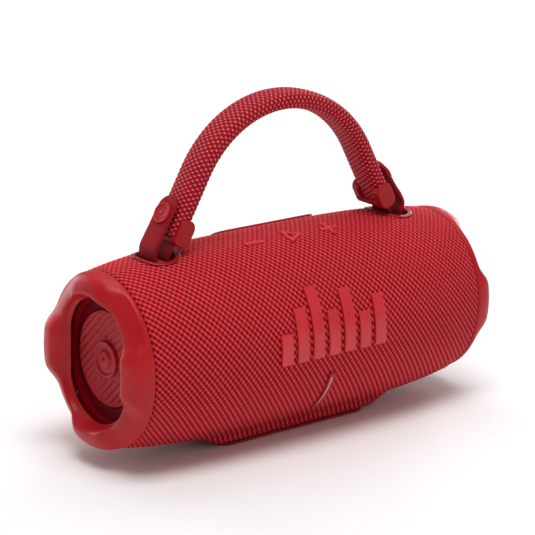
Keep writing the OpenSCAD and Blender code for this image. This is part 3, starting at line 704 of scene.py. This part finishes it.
def strap_tail(side, sign):
    """The band's free end, up the outside of the leg to its press stud; the right one bows out more."""
    bulge = 1.1 * MM if side == "right" else 0
    knots = [
        (WELL_X + LOOP_R, BAR_Z + 0.1 * MM),
        (WELL_X + LOOP_R + 0.1 * MM, BAR_Z + 4.5 * MM),
        (WELL_X + LOOP_R - 0.2 * MM + bulge, BAR_Z + 8.5 * MM),
        leg_point(36.5 * MM, 8 * MM + bulge),
        leg_point(31 * MM, 7.7 * MM + bulge / 2),
        leg_point(24 * MM, 7.5 * MM),
        leg_point(14.6 * MM, 6.6 * MM),
    ]
    piece = strap_piece("strap_end_" + side, knots, sign, True)
    finish_piece(piece, None, "strap_rubber", M["strap"], "strap_tail_" + side)
    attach(piece, "flap_" + side)
    piece.parent = None
    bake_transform(piece)


def place_on_leg(piece, s, n, sign):
    """Stands a turned piece on the outer face of a leg, s down it and n out of it."""
    x, z = leg_point(s, n)
    out = Vector((math.sin(ARCH_HALF), 0, math.cos(ARCH_HALF)))
    down = Vector((math.cos(ARCH_HALF), 0, -math.sin(ARCH_HALF)))
    basis = Matrix((down, out.cross(down), out)).transposed().to_4x4()
    mirror = Matrix.Diagonal((sign, 1, 1, 1))
    piece.data.transform(mirror @ Matrix.Translation((x, 0, z)) @ basis)
    if sign < 0:
        piece.data.flip_normals()


def snap_button(side, sign):
    """Press-stud cap: a raised rim, a stepped ring and a small centre dot."""
    profile = [(0.2, 0.92), (0.7, 0.9), (0.95, 0.74), (1.4, 0.7), (2.6, 0.7), (2.8, 0.78), (3.2, 0.78),
               (3.4, 0.7), (4.1, 0.72), (4.35, 1.05), (4.65, 1.15), (4.95, 1.08), (5.2, 0.8), (5.2, 0.2),
               (5.0, 0.0)]
    piece = lathe("snap_button_" + side, [(r * MM, h * MM) for r, h in profile])
    place_on_leg(piece, STUD_S, STUD_OUT, sign)
    finish_piece(piece, "flap_" + side, "badge_plastic", M["snap"], "snap_cap_" + side)


# ---- small pieces with rounded edges ----

def soft_pieces():
    """Copies of moulded CAD nodes with rounded edges, each with its voxel size and smoothing passes."""
    for side in ("left", "right"):
        cap = softened("grip_cap_" + side, "grip_end_" + side, 0.35 * MM, 9)
        finish_piece(cap, "handle", "cap_rubber", M["cap"])
        cup = softened("well_cup_" + side, "strap_well_" + side, 0.2 * MM, 2)
        finish_piece(cup, "root", "well_plastic", M["well"])
    badge = softened("front_badge", "level_badge", 0.3 * MM, 2)
    finish_piece(badge, "root", "badge_plastic", M["badge"])
    for key in ("minus", "play", "plus"):
        button = softened("button_" + key, key + "_icon", 0.2 * MM, 2)
        finish_piece(button, key + "_key", "button_rubber", M["icon"])
    for key in ("power", "link", "share"):
        button = softened("button_" + key, key + "_pad", 0.2 * MM, 1)
        finish_piece(button, key + "_key", "button_rubber", M["icon"])
    panel = softened("rear_panel", "rear_control_panel", 0.4 * MM, 3)
    finish_piece(panel, "root", "panel_plastic", M["panel"])
    foot = softened("base_foot", "rubber_foot", 0.4 * MM, 1)
    finish_piece(foot, "root", "foot_rubber", M["foot"])


# ---- camera, floor and light ----

AZIMUTH, ELEVATION, ROLL = math.radians(-39.75), math.radians(17.4), math.radians(1.23)
CAMERA_DISTANCE = 1.1715
LENS = 159.0
OFF_RIGHT, OFF_DOWN = 0.00278, 0.02274      # slopes from the view's middle to the barrel's middle


def toward(azimuth, elevation):
    """Direction from the object to something seen at this azimuth and elevation, in radians."""
    level = math.cos(elevation)
    return Vector((math.sin(azimuth) * level, -math.cos(azimuth) * level, math.sin(elevation)))


def camera():
    """The camera fitted to the photo: the middle of the barrel stands a little off the view's middle."""
    back = toward(AZIMUTH, ELEVATION)
    level = Vector((math.cos(AZIMUTH), math.sin(AZIMUTH), 0))
    upright = back.cross(level)
    right = math.cos(ROLL) * level + math.sin(ROLL) * upright
    up = math.cos(ROLL) * upright - math.sin(ROLL) * level
    aim = (-back - OFF_RIGHT * right + OFF_DOWN * up).normalized()
    right = aim.cross(up).normalized()
    up = right.cross(aim)
    data = bpy.data.cameras.new("camera")
    data.lens = LENS
    data.sensor_width = 36
    data.clip_end = 20
    eye = bpy.data.objects.new("camera", data)
    bpy.context.scene.collection.objects.link(eye)
    turn = Matrix((right, up, -aim)).transposed().to_4x4()
    eye.matrix_world = Matrix.Translation(Vector((0, 0, AXIS)) + back * CAMERA_DISTANCE) @ turn
    bpy.context.scene.camera = eye


def soft_light(name, azimuth, elevation, distance, size, power):
    """A rectangular lamp that faces the object; angles in degrees, sizes in metres, power in watts."""
    back = toward(math.radians(azimuth), math.radians(elevation))
    data = bpy.data.lights.new(name, "AREA")
    data.shape = "RECTANGLE"
    data.size, data.size_y = size
    data.energy = power
    lamp = bpy.data.objects.new(name, data)
    bpy.context.scene.collection.objects.link(lamp)
    lamp.location = Vector((0, 0, AXIS)) + back * distance
    lamp.rotation_mode = "QUATERNION"
    lamp.rotation_quaternion = (-back).to_track_quat("-Z", "Y")


def studio():
    """White surroundings that the camera sees brighter than they light, a pale floor and soft lamps."""
    world = bpy.data.worlds.new("studio")
    bpy.context.scene.world = world
    world.use_nodes = True
    tree = world.node_tree
    ambient = tree.nodes["Background"]
    seen = tree.nodes.new("ShaderNodeBackground")
    choose = tree.nodes.new("ShaderNodeMixShader")
    rays = tree.nodes.new("ShaderNodeLightPath")
    for background, strength in ((ambient, 0.26), (seen, 0.97)):
        background.inputs[0].default_value = (1, 1, 1, 1)
        background.inputs[1].default_value = strength
    tree.links.new(rays.outputs["Is Camera Ray"], choose.inputs[0])
    tree.links.new(ambient.outputs[0], choose.inputs[1])
    tree.links.new(seen.outputs[0], choose.inputs[2])
    tree.links.new(choose.outputs[0], tree.nodes["World Output"].inputs[0])
    bpy.context.scene.view_settings.view_transform = "Standard"
    reach = 6.0
    mesh = bpy.data.meshes.new("floor")
    corners = [(-reach, -reach, 0), (reach, -reach, 0), (reach, reach, 0), (-reach, reach, 0)]
    mesh.from_pydata(corners, [], [(0, 1, 2, 3)])
    floor = link("floor", mesh)
    n = Nodes("floor")
    tone = n.mix(n.noise(3, 2), (0.93, 0.93, 0.93, 1), (0.96, 0.96, 0.96, 1))
    mesh.materials.append(n.done(tone, n.span(n.noise(20), 0.6, 0.8)))
    soft_light("key", -30, 76, 2.6, (1.6, 1.2), 47)
    soft_light("front", 22, 30, 2.0, (1.2, 0.9), 2.2)
    soft_light("back_left", -174, 10, 2.0, (1.0, 1.0), 11)
    soft_light("back_right", 117, 6, 1.8, (0.6, 1.2), 12)
    soft_light("backdrop", 150, 62, 3.0, (2.0, 1.6), 17)


camera()
studio()
dress_cad_nodes()
knit_sleeve()
woven_grip()
soft_pieces()
for side, sign in (("left", -1), ("right", 1)):
    bumper(side, sign)
    radiator_disc(side, sign)
    radiator_boss(side, sign)
    strap_loop(side, sign)
    strap_tail(side, sign)
    snap_button(side, sign)
